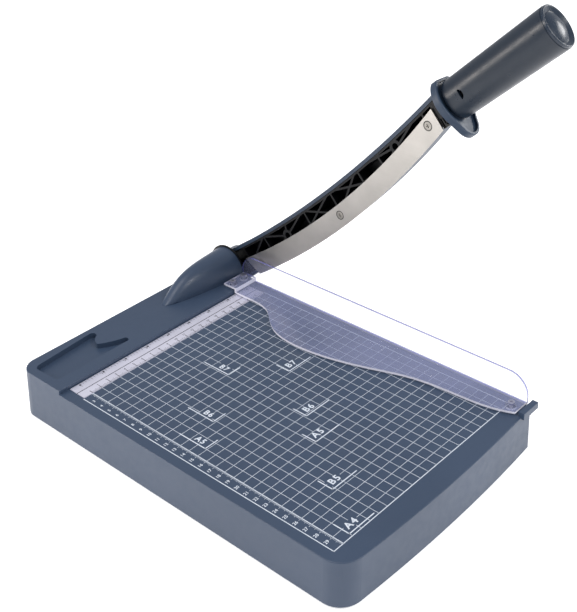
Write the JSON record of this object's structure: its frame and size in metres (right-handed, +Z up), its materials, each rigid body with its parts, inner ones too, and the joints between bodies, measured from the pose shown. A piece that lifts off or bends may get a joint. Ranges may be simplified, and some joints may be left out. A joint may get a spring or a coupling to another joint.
{
  "type": "guillotine paper cutter",
  "caption": "Desktop guillotine paper trimmer: gridded table with paper stop and pen tray, fixed lower blade, clear guard and a hinged arm with the upper blade and a round grip.",
  "frame": {"origin": "bottom centre of the whole cutter's box, on the surface that it stands on", "axes": "+X across the table to the cutting edge, +Y along the table to the pivot, +Z up; the arm is stored half raised"},
  "size_m": [0.2814, 0.3852, 0.3638],
  "materials": {
    "shell_plastic": "fine satin grain",
    "arm_plastic": "satin",
    "black_plastic": "satin black",
    "grip_plastic": "soft satin",
    "clear_plastic": "clear, polished",
    "blade_steel": "satin ground",
    "fastener_steel": "zinc plated",
    "ruler_aluminium": "satin anodised",
    "rubber": "matt",
    "bush_brass": "turned",
    "nylon": "natural nylon"
  },
  "bodies": {
    "base": {"base_shell": "shell_plastic", "rubber_feet": "rubber", "ruler_strip": "ruler_aluminium", "counter_blade": "blade_steel", "counter_blade_screws": "fastener_steel", "counter_blade_nuts": "fastener_steel", "pivot_housing": "shell_plastic", "housing_seal": "rubber", "pivot_bracket": "fastener_steel", "bracket_screws": "fastener_steel", "pivot_bolt": "fastener_steel", "pivot_washers": "fastener_steel", "thrust_washer": "nylon", "disc_springs": "fastener_steel", "lock_nut": "fastener_steel", "clear_guard": "clear_plastic", "guard_screws": "fastener_steel"},
    "arm": {"arm_shell": "arm_plastic", "arm_core": "black_plastic", "pivot_bush": "bush_brass", "cutting_blade": "blade_steel", "blade_screws": "fastener_steel", "blade_inserts": "bush_brass", "finger_guard": "arm_plastic", "handle_sleeve": "grip_plastic", "handle_end_cap": "arm_plastic", "handle_screw": "fastener_steel"}
  },
  "joints": [
    {"name": "arm_hinge", "type": "hinge", "parent": "base", "child": "arm", "pos_m": [0.11286, 0.1661, 0.034], "axis": [-1, 0, 0], "range_deg": [-40.85, 19]}
  ]
}
